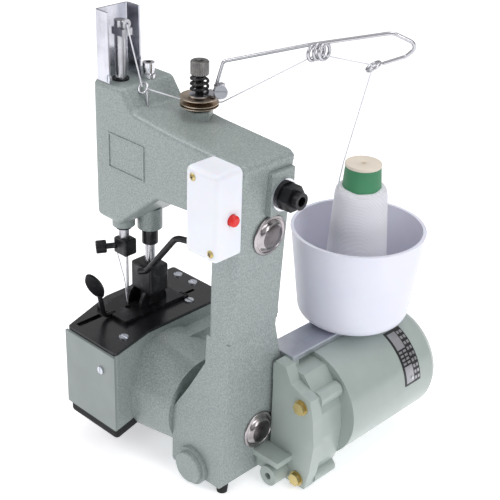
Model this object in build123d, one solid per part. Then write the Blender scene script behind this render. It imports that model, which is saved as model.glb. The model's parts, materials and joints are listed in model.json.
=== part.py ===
from build123d import *
import math
import os

# Portable bag closer: a single-needle chain-stitch machine with motor and thread stand.
# Millimetres, +Z up.  X runs from the sewing head towards the column, Y from the
# operator's side towards the motor.  Every sub-part is one STEP file in parts/.
# The numbers below are in the machine's own drawing frame; export_part moves each
# piece so that the origin is the centre of the outer box, at the floor.

# ---- driving dimensions -------------------------------------------------
wall = 4.0                      # casting wall
running = 0.06                  # radial clearance of a running fit
gap = 0.3                       # clearance between pieces that move past each other

front_y, back_y = -27.0, 20.0   # the arm's two broad faces
column_left_x = 8.0
column_back_x = 30.0            # the column's rear face at the base
column_top_back_x = 39.5        # and at the top
arm_top_z, head_top_z, head_bottom_z = 267.0, 288.0, 181.0
head_left_x, head_right_x = -112.0, -80.0
base_left_x, base_front_y, base_back_y, base_bottom_z = -22.0, -32.0, 43.0, 8.0

plate_top_z, plate_thickness = 101.0, 2.5
looper_bottom_z = 33.0
looper_front_y, looper_back_y, looper_left_x, looper_right_x = -62.0, 60.0, -122.0, -60.0

needle_x, needle_y = -96.0, -14.0
needle_bar_radius, needle_bar_top_z, needle_bar_bottom_z = 4.0, 331.0, 150.0
needle_stroke = 31.0
needle_offset_x = 3.0           # the needle stands beside the bar's axis

presser_x, presser_y = -87.0, 4.0
presser_bar_radius, presser_bar_top_z = 4.0, 258.0
presser_lift = 8.0

lever_pivot_x, lever_pivot_z = -8.0, 244.0
lever_y0, lever_y1 = -8.8, -3.0
lever_front_arm = lever_pivot_x - needle_x
lever_rear_arm = 26.0
lever_swing = math.degrees(math.atan(needle_stroke / 2 / lever_front_arm))

shaft_x, shaft_z, shaft_radius = 15.0, 44.0, 5.0
crank_throw = lever_rear_arm * math.sin(math.radians(lever_swing))
crank_y0, crank_y1 = 4.6, 12.0

looper_shaft_y, looper_shaft_z, looper_shaft_radius = -6.0, 56.0, 6.0

motor_x, motor_z, motor_radius = 40.0, 54.0, 44.0
motor_front_y, motor_back_y = 54.0, 155.0
belt_y0, belt_y1 = 45.2, 50.8
motor_pulley_radius, drive_pulley_radius = 8.0, 18.0

cup_x, cup_y, cup_base_z, cup_rim_z = 29.0, 109.0, 103.0, 177.5
cup_base_radius, cup_rim_radius, cup_wall = 43.0, 50.5, 2.2
strap_top_z, strap_thickness, strap_half_width = 103.0, 4.6, 13.0

tension_x, tension_y, tension_base_z = -40.0, 9.0, 276.0
handle_y, handle_z = 8.0, 240.0
wire_radius = 1.25
thread_radius = 0.5

parts = {}


# ---- helpers --------------------------------------------------------------
def block(x0, x1, y0, y1, z0, z1):
    centre = ((x0 + x1) / 2, (y0 + y1) / 2, (z0 + z1) / 2)
    return Pos(*centre) * Box(x1 - x0, y1 - y0, z1 - z0)


def round_bar(axis, centre, radius, low, high):
    """A cylinder along X, Y or Z; centre gives the two other coordinates in order."""
    middle, length = (low + high) / 2, high - low
    if axis == "x":
        return Pos(middle, *centre) * Rot(0, 90, 0) * Cylinder(radius, length)
    if axis == "y":
        return Pos(centre[0], middle, centre[1]) * Rot(90, 0, 0) * Cylinder(radius, length)
    return Pos(*centre, middle) * Cylinder(radius, length)


def ring(axis, centre, outer, inner, low, high):
    return round_bar(axis, centre, outer, low, high) - round_bar(axis, centre, inner, low - 1, high + 1)


def flat_shape(points, corner=0.0, inset=0.0):
    face = make_face(Polyline(*points, close=True))
    if inset:
        face = offset(face, amount=-inset, kind=Kind.INTERSECTION)
    if corner:
        face = fillet(face.vertices(), corner)
    return face


def prism_y(points, y0, y1, corner=0.0, inset=0.0):
    """Extrude a shape drawn in X and Z from y0 to y1."""
    plane = Plane(origin=(0, y1, 0), x_dir=(1, 0, 0), z_dir=(0, -1, 0))
    return extrude(plane * flat_shape(points, corner, inset), amount=y1 - y0)


def prism_x(points, x0, x1, corner=0.0, inset=0.0):
    """Extrude a shape drawn in Y and Z from x0 to x1."""
    plane = Plane(origin=(x0, 0, 0), x_dir=(0, 1, 0), z_dir=(1, 0, 0))
    return extrude(plane * flat_shape(points, corner, inset), amount=x1 - x0)


def prism_z(points, z0, z1, corner=0.0, inset=0.0):
    return Pos(0, 0, z0) * extrude(flat_shape(points, corner, inset), amount=z1 - z0)


def lathe_z(points, centre_x=0.0, centre_y=0.0):
    """Turn a shape drawn in radius and height about a vertical axis."""
    face = Plane.XZ * make_face(Polyline(*points, close=True))
    return Pos(centre_x, centre_y, 0) * revolve(face, Axis.Z)


def lathe_y(points, centre_x, centre_z):
    """Turn a shape drawn in radius and Y about an axis along Y."""
    face = make_face(Polyline(*points, close=True))
    return Pos(centre_x, 0, centre_z) * revolve(face, Axis.Y)


def bent_rod(points, radii, radius):
    """A round wire along straight runs joined by tangent arcs."""
    path = FilletPolyline(*points, radius=radii)
    start = Plane(origin=path @ 0, z_dir=path % 0)
    return sweep(start * Circle(radius), path=path)


def coil_spring(x, y, z0, z1, coil_radius, wire, turns):
    helix = Helix(pitch=(z1 - z0 - 2 * wire) / turns, height=z1 - z0 - 2 * wire, radius=coil_radius)
    section = Plane(origin=helix @ 0, z_dir=helix % 0) * Circle(wire)
    return Pos(x, y, z0 + wire) * sweep(section, path=helix)


def soften(solid, radius, pick):
    """Round the picked edges, or leave them sharp where the kernel can't."""
    edges = [edge for edge in solid.edges() if pick(edge)]
    for size in (radius, radius * 0.6, radius * 0.3):
        try:
            rounded = fillet(edges, size)
            if rounded.is_valid and len(rounded.solids()) == len(solid.solids()):
                return rounded
        except (ValueError, RuntimeError):
            continue
    print("sharp edges left", round(radius, 1))
    return solid


def cheese_screw(x, y, z, direction, head_radius, head_height, shank_radius, shank_length, slot=True):
    """A slotted screw: head from z up, shank down, then turned to point along direction."""
    screw = Pos(0, 0, head_height / 2) * Cylinder(head_radius, head_height)
    screw += Pos(0, 0, -shank_length / 2) * Cylinder(shank_radius, shank_length)
    if slot:
        screw -= Pos(0, 0, head_height) * Box(head_radius * 3, head_radius * 0.3, head_height * 0.8)
    return Plane(origin=(x, y, z), z_dir=direction) * screw


def keep(name, solid, *cutters):
    """Store a piece after cutting away the pieces that seat in it."""
    for cutter in cutters:
        solid = solid - cutter
    parts[name] = solid


# ---- main casting: head, arm and column -----------------------------------
arm_outline = [
    (head_left_x, head_bottom_z), (head_left_x, head_top_z), (head_right_x, head_top_z),
    (-69, 274), (-28, 270), (column_top_back_x, arm_top_z), (column_back_x, 127),
    (column_back_x, 60), (column_left_x, 60), (column_left_x + 1.5, 219), (-45, 215), (-86, head_bottom_z),
]
base_side = [
    (base_front_y, base_bottom_z), (base_front_y, 48), (front_y, 78), (front_y, 130), (back_y, 130),
    (25.5, 106), (41, 57), (base_back_y, 48), (base_back_y, 14), (40, base_bottom_z),
]
base_outline = [
    (base_left_x, base_bottom_z), (base_left_x, 56), (column_left_x - 1, 106), (column_left_x, 131),
    (column_back_x, 131), (column_back_x, base_bottom_z),
]


def casting_body(inset):
    corner = 0 if inset else 5
    arm = prism_y(arm_outline, front_y + inset, back_y - inset, corner, inset)
    if not inset:
        arm = soften(arm, 4.5, lambda edge: abs(edge.center().Y - front_y) < 0.1)
    base = prism_x(base_side, base_left_x - 1, column_back_x + 1, 0, inset)
    base = base & prism_y(base_outline, base_front_y - 1, base_back_y + 1, 0 if inset else 2.5, inset)
    return arm + base


handle_block = (33.0, 42.0, -3.0, 19.0, 226.0, 257.0)
plug_places = ((2.6, 209.0, 36.0), (6.2, 44.0, 30.0))    # y, z and the face's x
button_y, button_z = -35.5, 233.5
cap_x, cap_z, cap_radius = 1.0, 15.5, 12.5
lifter_x, lifter_y, lifter_z = 0.5, -2.0, 180.0

outer = casting_body(0)
outer += block(*handle_block) & prism_y(
    [(30, 226), (handle_block[1], 226), (handle_block[1], 257), (30, 257)], -30, 30)
outer += round_bar("z", (needle_x, needle_y), 8.5, 174.5, head_bottom_z + 2)
outer += round_bar("z", (presser_x, presser_y), 9.5, 170, head_bottom_z + 6)
outer += round_bar("y", (cap_x, cap_z), cap_radius + 2.5, -35, -20)
outer += round_bar("x", (lifter_y, lifter_z), 6.5, lifter_x + 5.5, column_left_x + 2)
arm_cavity = prism_y(arm_outline, back_y - wall - 1, back_y + 1, 0, wall)
arm_cavity &= block(-120, 60, 0, 40, 133, 300)
casting = outer - casting_body(wall) - arm_cavity

shaft_hub = round_bar("y", (shaft_x, shaft_z), 11, 26, 42.5)
lever_boss = round_bar("y", (lever_pivot_x, lever_pivot_z), 8, front_y + 2, lever_y0 - gap)
casting += shaft_hub & block(-17, 27, 0, 60, 20, 80)
casting += lever_boss
casting -= round_bar("y", (shaft_x, shaft_z), shaft_radius + running, 10, 60)

# a plain raised frame on the head's front face
badge = block(-95.5, -57, front_y - 0.7, front_y + 1, 225, 252) - block(-94.3, -58.2, -40, 0, 226.2, 250.8)
casting += badge

# ---- fasteners and trim that seat in the casting ---------------------------
cover_outline = [(-110.5, 188), (-110.5, 284), (-82, 284), (-70, 271.5), (-29, 267.5), (36.5, 264.5),
                 (29.2, 133), (10.3, 133), (11.5, 221.5), (-44, 217.5), (-84, 185)]
cover_screw_places = ((-106, 280), (-106, 192), (-40, 264), (33, 260), (-14, 224.5), (25.5, 138))


def domed_plug(y, z, x):
    tilt = 3.9 if z > 127 else 0
    profile = [(0, -4.6), (12.4, -4.6), (12.4, 0), (15, 0), (15, 1.4), (13.4, 2.4), (12.3, 1.8), (11.2, 2.2)]
    profile += [(11.2 * math.cos(math.radians(a)), 2.2 + 3.6 * math.sin(math.radians(a))) for a in (30, 60)]
    plug = lathe_z(profile + [(0, 5.8)])
    return Plane(origin=(x, y, z), z_dir=(math.cos(math.radians(tilt)), 0, -math.sin(math.radians(tilt)))) * plug


def hole_plugs():
    return Compound([domed_plug(*place) for place in plug_places])


def handle_socket():
    nut = extrude(Plane(origin=(44, handle_y, handle_z), x_dir=(0, 1, 0), z_dir=(1, 0, 0))
                  * RegularPolygon(9.6, 6), amount=10)
    flange = round_bar("x", (handle_y, handle_z), 10, 44, 46)
    stud = round_bar("x", (handle_y, handle_z), 6, 36, 59)
    return nut + flange + stud - round_bar("x", (handle_y, handle_z), 3.5, 45, 60)


plugs = hole_plugs()
socket = handle_socket()
cap = round_bar("y", (cap_x, cap_z), cap_radius, -39, -31)
cap = soften(cap, 1.5, lambda edge: abs(edge.center().Y + 39) < 0.1)
casting -= plugs
casting -= socket
casting -= cap
lower_bush = ring("z", (needle_x, needle_y), 6, needle_bar_radius + running, 172, 192)
upper_bush = ring("z", (needle_x, needle_y), 6, needle_bar_radius + running, 280, 289.5)
sleeve = ring("z", (presser_x, presser_y), 6.2, presser_bar_radius + running, 157, 190)
adjuster = ring("z", (presser_x, presser_y), 4.4, 2.0, 272, 299)
adjuster += ring("z", (presser_x, presser_y), 5.6, 2.0, 288.2, 291)
for piece in (lower_bush, upper_bush, sleeve, adjuster):
    casting -= piece

cover_screws = Compound([
    Pos(x, back_y + 2.4, z) * Rot(-90, 0, 0) * (Pos(0, 0, 1) * Cylinder(3.2, 2) + Pos(0, 0, -2) * Cylinder(1.4, 4)
                                             - Pos(0, 0, 2) * Box(8, 0.9, 1.4))
    for x, z in cover_screw_places])
for x, z in cover_screw_places:
    casting += round_bar("y", (x, z), 4.6, front_y + 2, back_y) & outer
casting -= cover_screws
casting -= round_bar("z", (needle_x, needle_y), 6.02, 172, 192)
casting -= round_bar("z", (needle_x, needle_y), 6.02, 280, 290)
casting -= round_bar("z", (presser_x, presser_y), 6.2, 157, 190)
casting -= round_bar("z", (presser_x, presser_y), 4.4, 270, 290)
guard_screws = Compound([
    cheese_screw(-93, -25.5 - 1, 292, (0, -1, 0), 2.6, 2, 1.3, 1.0),
    cheese_screw(-26.5, 16.5, 289.5, (0.62, -0.62, 0.48), 4.6, 3.2, 1.9, 4.5),
])

keep("main_casting", casting)
keep("hole_plugs", plugs)
keep("handle_socket", socket)
keep("handle_washer", ring("x", (handle_y, handle_z), 11.5, 6, 42, 44))
keep("base_cap", cap)
keep("bar_bushings", Compound([lower_bush, upper_bush]))
keep("presser_sleeve", sleeve)
keep("presser_adjuster", adjuster)
keep("arm_cover", prism_y(cover_outline, back_y, back_y + 2.4, 2), cover_screws)
keep("cover_screws", cover_screws)

# ---- oil box on the column's front ------------------------------------------
oil_shell = soften(block(9, 38.5, -50, front_y - 0.1, 205, 267.5), 4, lambda edge: edge.center().Y < front_y - 1)
oil_shell -= block(11.5, 36, -47.5, front_y - 3, 207.5, 265)
oil_shell -= block(11.5, 36, -30.5, -20, 207.5, 265)
oil_screws = Compound([
    cheese_screw(x, -50, z, (0, -1, 0), 2.6, 1.2, 1.3, 2.4) for x, z in ((16.5, 261), (33.8, 212))])
oil_shell -= round_bar("x", (button_y, button_z), 4.0 + gap, 30, 42)
keep("oil_box", oil_shell, oil_screws)
keep("oil_box_screws", oil_screws)
button = soften(round_bar("x", (button_y, button_z), 4.0, 34.5, 42.5), 1.8, lambda edge: edge.center().X > 42)
keep("oil_button", button + round_bar("x", (button_y, button_z), 5.2, 33.0, 35.2))

# ---- lower arm, looper box, needle plate --------------------------------------
box_outline = [(-106, looper_front_y), (-51, looper_front_y), (looper_right_x, -22), (looper_right_x, looper_back_y),
               (looper_left_x, looper_back_y), (looper_left_x, -12)]
housing_top_z = plate_top_z - plate_thickness


def tapered_arm(inset):
    big = Plane(origin=(-62, -6, 53), x_dir=(0, 1, 0), z_dir=(1, 0, 0)) * Circle(42 - inset)
    small = Plane(origin=(base_left_x, 0, 47), x_dir=(0, 1, 0), z_dir=(1, 0, 0)) * Circle(36 - inset)
    return loft([big, small])


housing = prism_z(box_outline, looper_bottom_z, housing_top_z, 2.5) + tapered_arm(0)
housing += block(looper_right_x - 2, -47, -14, 52, 84, 89)
housing -= prism_z(box_outline, looper_bottom_z - 1, housing_top_z + 1, 0, wall)
housing -= tapered_arm(wall) - block(-26, -20, -60, 60, 0, 110)
housing -= block(-102, -60, -70, -55, looper_bottom_z - 1, housing_top_z + 1)
bearing_web = block(looper_right_x - 4, looper_right_x, -30, 20, looper_bottom_z, 80)
housing += bearing_web + round_bar("x", (looper_shaft_y, looper_shaft_z), 11, -66, -52)
housing -= round_bar("x", (looper_shaft_y, looper_shaft_z), looper_shaft_radius + running, -130, 0)
screw_posts = [(-109, 53), (-91.5, 53), (-72, 31), (-65, -42)]
for x, y in screw_posts:
    housing += round_bar("z", (x, y), 7, 70, housing_top_z) & prism_z(box_outline, 40, 120)

plate = prism_z(box_outline, housing_top_z, plate_top_z, 2.5)
feed_slot = block(-101.6, -89.4, -9, 27, 90, 110)
plate -= feed_slot
plate -= round_bar("z", (needle_x + needle_offset_x, needle_y), 1.9, 90, 110)
plate -= block(-104, -99, -56, -34, 90, 110) + block(-84, -81, 30, 46, 90, 110)
plate_screws = Compound([cheese_screw(x, y, plate_top_z - 0.6, (0, 0, 1), 3.6, 1.6, 1.8, 9) for x, y in screw_posts])
front_cover = prism_z([(-107, looper_front_y - 2), (-50, looper_front_y - 2), (-50, looper_front_y),
                       (-107, looper_front_y)], looper_bottom_z + 1, housing_top_z - 0.2)
front_screw = cheese_screw(-65, looper_front_y - 2, 82, (0, -1, 0), 3.0, 1.4, 1.6, 6)
plate_screws = Compound(list(plate_screws.solids()) + list(front_screw.solids()))
guide_block = block(-104, -87, 6, 25, 64, 84) - block(-99 - gap, -92 + gap, 8, 23, 60, 90)
guide_block += block(looper_left_x + wall - 0.1, -103.9, 10, 20, 68, 80)
keep("needle_plate", plate, plate_screws)
keep("plate_screws", plate_screws)
keep("looper_front_cover", front_cover, plate_screws)
keep("looper_housing", housing + guide_block, plate_screws)
pan = prism_z(box_outline, looper_bottom_z - 10, looper_bottom_z, 3)
pan = soften(pan, 4.5, lambda edge: edge.center().Z < looper_bottom_z - 9.9)
keep("bottom_pan", pan, tapered_arm(0))

# ---- needle bar group -----------------------------------------------------------
bar = round_bar("z", (needle_x, needle_y), needle_bar_radius, needle_bar_bottom_z, needle_bar_top_z)
bar -= round_bar("z", (needle_x + needle_offset_x, needle_y), 1.05, 140, 168)
drive_collar = ring("z", (needle_x, needle_y), 4.9, needle_bar_radius, 253, 266)
pin_z = lever_pivot_z + needle_stroke / 2
drive_collar += round_bar("y", (needle_x, pin_z), 2.5, needle_y + 3, lever_y1)
drive_collar -= bar
clamp_centre_z = 157.5
clamp = soften(block(-101.5, -87.5, needle_y - 6, needle_y + 5.5, 151, 164), 1.5, lambda edge: True)
clamp -= bar + round_bar("z", (needle_x + needle_offset_x, needle_y), 1.0, 140, 170)
screw_direction = Vector(-0.55, -0.80, -0.05).normalized()
screw_start = Vector(needle_x - 2, needle_y - 4.0, clamp_centre_z)
clamp_screw = Plane(origin=screw_start, z_dir=screw_direction) * (
    Pos(0, 0, 5.8) * Cylinder(2.3, 6.4) + Pos(0, 0, 13) * Cylinder(5.0, 8))
clamp_cut = Plane(origin=screw_start, z_dir=screw_direction) * (Pos(0, 0, 6) * Cylinder(2.3 + gap, 9))
needle = round_bar("z", (needle_x + needle_offset_x, needle_y), 1.0, 122, 166)
needle += Pos(needle_x + needle_offset_x, needle_y, 111.5) * Cone(0.25, 1.0, 21)
take_up = block(needle_x - 3.5, needle_x + 8, needle_y - 4.5, needle_y + 4.5, 321, 326)
take_up += ring("x", (needle_y, 329), 3.6, 1.4, needle_x + 5.5, needle_x + 7.5)
keep("needle_bar", bar + drive_collar + (take_up - bar))
keep("needle_clamp", clamp, clamp_cut)
keep("clamp_screw", clamp_screw)
keep("needle", needle)

# ---- presser bar group --------------------------------------------------------------
keep("presser_bar", round_bar("z", (presser_x, presser_y), presser_bar_radius, 122, presser_bar_top_z)
     + ring("z", (presser_x, presser_y), 6.6, presser_bar_radius - 1, 196, 200))
foot = soften(block(-99, -76, -5.5, 13, 117, 140), 2, lambda edge: True)
foot += block(-92, -82, -2, 10, 106, 120)
foot += block(-111, -77, -30, 30, plate_top_z + gap, plate_top_z + 3.2)
for side_x in (-98, -83):
    foot += round_bar("x", (4.0, 106.0), 13, side_x - 3, side_x) & block(-120, -60, -40, 40, plate_top_z + gap, 130)
for tooth in range(4):
    foot += block(-84.5 + 2.4 * tooth, -83.3 + 2.4 * tooth, 29, 34, plate_top_z + gap, plate_top_z + 2.6)
toe = bent_rod([(-95, -26, 103.2), (-95, -36, 104.0), (-95, -40, 124)], [5], 1.9)
foot += toe + (Plane(origin=(-95, -44, 133), x_dir=(0.75, 0.58, 0.32), z_dir=(0.664, -0.66, -0.36)) * extrude(
    Ellipse(5.4, 13), amount=1.2, both=True))
foot -= round_bar("z", (needle_x + needle_offset_x, needle_y), 2.2, 90, 125)
foot -= block(-101, -90, -10, 26, 100, 103.6)
foot -= round_bar("z", (presser_x, presser_y), presser_bar_radius, 122, 140)
keep("presser_foot", foot)
keep("presser_spring", coil_spring(presser_x, presser_y, 200.2, 271.8, 5.4, 0.6, 9))

lever_path = [(-85, -8.4, 136.5), (-77, -8.2, 140), (-47, -6, 178.5), (-36, -5, lifter_z), (lifter_x, lifter_y, lifter_z)]
lifter = bent_rod(lever_path, [12, 12, 8], 2.4)
lifter += Pos(lifter_x, lifter_y, lifter_z) * Rot(90, 0, 0) * Cylinder(4.6, 7)
lifter -= round_bar("y", (lifter_x, lifter_z), 2.5 + running, -20, 20)
pivot = round_bar("y", (lifter_x, lifter_z), 2.5, lifter_y - 6, lifter_y + 6)
for side in (-1, 1):
    lug = block(lifter_x - 4, column_left_x + 3, lifter_y + side * 4.9 - 1.1, lifter_y + side * 4.9 + 1.1,
                lifter_z - 5, lifter_z + 5)
    pivot += lug
parts["main_casting"] -= round_bar("x", (lifter_y, lifter_z), 6.6, lifter_x, column_left_x + 1.2)
keep("lifter_lever", lifter)

# ---- drive: lever, connecting rod, main shaft, belt ------------------------------------
lever = prism_y([(-88 / math.cos(math.radians(lever_swing)) - 5, -5), (-30, -6.5), (0, -8), (26, -5), (30, 0),
                 (26, 5), (0, 8), (-30, 6.5), (-88 / math.cos(math.radians(lever_swing)) - 5, 5)], lever_y0, lever_y1)
slot_middle = (lever_front_arm + lever_front_arm / math.cos(math.radians(lever_swing))) / 2
lever -= block(-slot_middle - 3.6, -slot_middle + 3.6, -40, 40, -2.5 - gap, 2.5 + gap)
lever -= round_bar("y", (0, 0), 4 + running, -40, 40)
lever += round_bar("y", (lever_rear_arm, 0), 3, lever_y0, lever_y1 + 6.5)
lever = Pos(lever_pivot_x, 0, lever_pivot_z) * Rot(0, lever_swing, 0) * lever
lever_pin = round_bar("y", (lever_pivot_x, lever_pivot_z), 4, front_y + 3, lever_y1 + 3)
keep("needle_lever", lever)
parts["main_casting"] -= lever_pin
keep("pivot_pins", Compound(list((pivot - parts["main_casting"]).solids()) + [lever_pin]))

rear_pin_x = lever_pivot_x + lever_rear_arm * math.cos(math.radians(lever_swing))
rear_pin_z = lever_pivot_z - crank_throw
rod_y0, rod_y1 = lever_y1 + gap, lever_y1 + gap + 6
crank_pin_x, crank_pin_z = shaft_x, shaft_z - crank_throw
rod_length = math.hypot(rear_pin_x - crank_pin_x, rear_pin_z - crank_pin_z)
rod_lean = math.degrees(math.atan2(rear_pin_x - crank_pin_x, rear_pin_z - crank_pin_z))
rod = block(-2.8, 2.8, rod_y0, rod_y1, 0, rod_length)
rod += round_bar("y", (0, rod_length), 6, rod_y0, rod_y1) + round_bar("y", (0, 0), 7, rod_y0, rod_y1)
rod -= round_bar("y", (0, rod_length), 3 + running, -20, 20) + round_bar("y", (0, 0), 3.2, -20, 20)
keep("connecting_rod", Pos(crank_pin_x, 0, crank_pin_z) * Rot(0, rod_lean, 0) * rod)

main_shaft = round_bar("y", (shaft_x, shaft_z), shaft_radius, crank_y1, belt_y1)
main_shaft += round_bar("y", (shaft_x, shaft_z), 9.5, crank_y0, crank_y1)
main_shaft += round_bar("y", (crank_pin_x, crank_pin_z), 2.8, crank_y0 - 0.6, crank_y0)
keep("main_shaft", main_shaft)


def belt_pulley(x, z, radius, bore):
    pulley = round_bar("y", (x, z), radius, belt_y0 - 0.8, belt_y1 + 0.2)
    teeth = round(2 * radius)
    for index in range(teeth):
        angle = 2 * math.pi * index / teeth
        groove_x, groove_z = x + radius * math.cos(angle), z + radius * math.sin(angle)
        pulley -= round_bar("y", (groove_x, groove_z), 0.7, belt_y0, belt_y1)
    return pulley - round_bar("y", (x, z), bore, 0, 100)


keep("drive_pulley", belt_pulley(shaft_x, shaft_z, drive_pulley_radius, shaft_radius))
keep("motor_pulley", belt_pulley(motor_x, motor_z, motor_pulley_radius, 3.0))


def pulley_loop(extra, low=belt_y0, high=belt_y1):
    """The outline round both pulleys, extra outside their rims."""
    big, small = drive_pulley_radius + extra, motor_pulley_radius + extra
    span = math.hypot(motor_x - shaft_x, motor_z - shaft_z)
    lean = math.atan2(motor_z - shaft_z, motor_x - shaft_x)
    wrap = math.acos((big - small) / span)
    corners = [(cx + r * math.cos(lean + side * wrap), cz + r * math.sin(lean + side * wrap))
               for side, (cx, cz, r) in ((1, (shaft_x, shaft_z, big)), (1, (motor_x, motor_z, small)),
                                         (-1, (motor_x, motor_z, small)), (-1, (shaft_x, shaft_z, big)))]
    body = prism_y(corners, low, high) + round_bar("y", (shaft_x, shaft_z), big, low, high)
    return body + round_bar("y", (motor_x, motor_z), small, low, high)


keep("drive_belt", pulley_loop(2.0) - pulley_loop(0.35))

# ---- looper and feed ---------------------------------------------------------------------
looper = round_bar("x", (looper_shaft_y, looper_shaft_z), looper_shaft_radius, -104, -30)
looper += round_bar("x", (looper_shaft_y, looper_shaft_z), 9, -104, -92)
looper += block(-100, -94, looper_shaft_y - 4, looper_shaft_y + 4, looper_shaft_z, 84)
looper += block(-98.5, -95.5, looper_shaft_y - 18, looper_shaft_y + 4, 82, 86)
looper += round_bar("x", (looper_shaft_y, looper_shaft_z), 9, -42, -34)
keep("looper", looper)
feed = block(-100.6, -90.4, -5, 19, 90, plate_top_z - 0.6)
feed -= block(-97, -94, -6, 20, 97, 110)
for tooth in range(8):
    feed += prism_x([(-4.5 + 2.9 * tooth, 100), (-4.5 + 2.9 * tooth, 101.1), (-2.4 + 2.9 * tooth, 100)], -100.6, -97)
    feed += prism_x([(-4.5 + 2.9 * tooth, 100), (-4.5 + 2.9 * tooth, 101.1), (-2.4 + 2.9 * tooth, 100)], -94, -90.4)
keep("feed_dog", feed + block(-99, -92, 10, 17, 70, 90))

# ---- needle-bar guard and thread path fittings ----------------------------------------------
eye_x, eye_y, eye_z = -74.2, -12.0, 286.8
guard = block(-108, -93.2, -26.5, 3, head_top_z, 338) - block(-106.6, -80, -25.1, 1.6, 280, 345)
guard -= block(-100, -80, -30, 10, 288, 289)
keep("bar_guard", guard, guard_screws)
keep("slotted_screws", guard_screws)
post = Pos(tension_x, tension_y, 269) * extrude(RegularPolygon(10, 6), amount=7)
post += round_bar("z", (tension_x, tension_y), 7.0, 276, 277.2)
post += round_bar("z", (tension_x, tension_y), 3.0, 277, 303)
keep("tension_post", post, parts["main_casting"])


def tension_disc(z, flip):
    profile = [(3.1, 0.0), (6.0, 0.0), (12.6, 1.6), (13.6, 1.6), (13.6, 2.2), (12.3, 2.3), (5.8, 0.8), (3.1, 0.8)]
    disc = lathe_z([(r, flip * h) for r, h in profile])
    return Pos(tension_x, tension_y, z) * disc


discs = [tension_disc(277.6, 1), tension_disc(283.3, -1), tension_disc(283.5, 1)]
keep("tension_discs", Compound(discs))
keep("tension_spring", coil_spring(tension_x, tension_y, 287.4, 300.8, 5.8, 1.0, 3))
knob = ring("z", (tension_x, tension_y), 6.4, 3.0 + running, 301.0, 303.4)
knob += ring("z", (tension_x, tension_y), 6.5, 3.6, 303.4, 311)
keep("tension_knob", soften(knob, 0.6, lambda edge: edge.center().Z > 310.9))

tab = ring("z", (tension_x, tension_y), 7.5, 3.1, 285.9, 287.1) + block(-42, -27.5, 12.5, 21.5, 285.9, 287.1)
tab += block(-31.5, -27.5, 14.5, 21.5, 285.9, 295)
wire_points = [(-34.5, 18.2, 288.6), (-28, 19.6, 311), (26, 46, 330.5), (72, 73, 344), (84, 86, 336), (76, 84, 327),
               (63.5, 75.5, 320.5)]
guide_wire = bent_rod(wire_points, [3.5, 30, 9, 5.5, 6], wire_radius)
eye = Pos(59.5, 71.5, 318.6) * Rot(24, -24, 0) * Torus(4.8, wire_radius)
pigtail = Rot(0, 90, 30) * Torus(5.2, wire_radius)
for centre in ((27.5, 47.6, 324.9), (30.7, 49.4, 326.2), (33.9, 51.2, 326.4)):
    guide_wire += Pos(*centre) * pigtail
guide_wire += eye
keep("guide_wire", guide_wire)
keep("wire_bracket", tab, guard_screws, guide_wire)
eyelet = Solid.make_cylinder(0.9, 17, Plane(origin=(-69.4, -12, 270.5), z_dir=(-0.06, 0, 1)))
eyelet += Pos(eye_x, eye_y, eye_z) * Rot(55, 0, 0) * Torus(3.8, 0.9)
keep("thread_eyelet", eyelet, parts["main_casting"])

# ---- motor, its bracket and the belt case ------------------------------------------------------
bracket_y0, bracket_y1 = 18.0, 28.0
bolt_places = ((61.0, 73.5), (60.5, 9.5))
bracket_outline = [(50, 88), (44, 100), (34, 101), (32.5, 84), (32.5, 20), (38, 3), (68, 3), (72, 20), (75, 44),
                   (73, 66), (69, 82), (60, 84)]
bracket = prism_y(bracket_outline, bracket_y0, bracket_y1)
bracket -= prism_y([(35, 30), (50, 30), (50, 80), (35, 80)], bracket_y0 + 3, bracket_y1 + 1)
bracket += block(column_back_x, 55, 2, bracket_y0 + 1, 23, 27.5)
hollow_boss = round_bar("y", (45, 10.5), 8, 3, bracket_y0 + 2)
bracket += hollow_boss
bracket += block(column_back_x, 46, 6, bracket_y1, 12, 23.5)
bracket -= round_bar("y", (45, 10.5), 2.75, -10, bracket_y0)
bracket += block(32, 42, bracket_y0, 34.6, 84, strap_top_z - strap_thickness)
case_outline = [(31.2, 94), (31.2, 16), (44, 5), (64, 7), (70, 22), (72.5, 46), (70.5, 66), (64, 80), (53, 93)]
case_rim_y1 = belt_y1 + 0.8
case = prism_y(case_outline, bracket_y1, case_rim_y1) - prism_y(case_outline, bracket_y1 - 1, case_rim_y1, 0, 5)
back_wall = round_bar("y", (motor_x, motor_z), motor_radius, case_rim_y1, motor_front_y)
back_wall += prism_y([(-10, 16), (-10, 70), (12, 92), (40, 98), (40, 14)], case_rim_y1, motor_front_y, 4)
left_rim = prism_y([(-10, 16), (-10, 70), (12, 92), (34, 92), (34, 16)], base_back_y + 0.5, case_rim_y1, 3)
left_rim -= prism_y([(-10, 16), (-10, 70), (12, 92), (40, 92), (40, 16)], base_back_y, case_rim_y1 + 1, 0, 3)
case += back_wall + left_rim
for x, z in bolt_places:
    case += round_bar("y", (x, z), 6.4, bracket_y1, case_rim_y1)
for x, z in ((66.0, 78.0), (64.5, 8.8)):
    case += round_bar("y", (x, z), 6.0, bracket_y1, case_rim_y1 - 1)
case -= pulley_loop(4.5, base_back_y, case_rim_y1)
case -= round_bar("y", (motor_x, motor_z), 3.5, 30, 70)
case -= round_bar("y", (shaft_x, shaft_z), shaft_radius + 1, 40, case_rim_y1)
case_bolts = Compound([
    Plane(origin=(x, bracket_y0, z), x_dir=(1, 0, 0), z_dir=(0, -1, 0)) * (
        extrude(RegularPolygon(5.2, 6), amount=3.8) + extrude(Circle(6), amount=0.9)
        + extrude(Circle(2.5), amount=-24)) for x, z in bolt_places])
keep("motor_bracket", bracket, case_bolts, parts["main_casting"])
keep("belt_case", case, case_bolts, parts["main_casting"], bracket)
keep("case_bolts", case_bolts)

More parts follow.
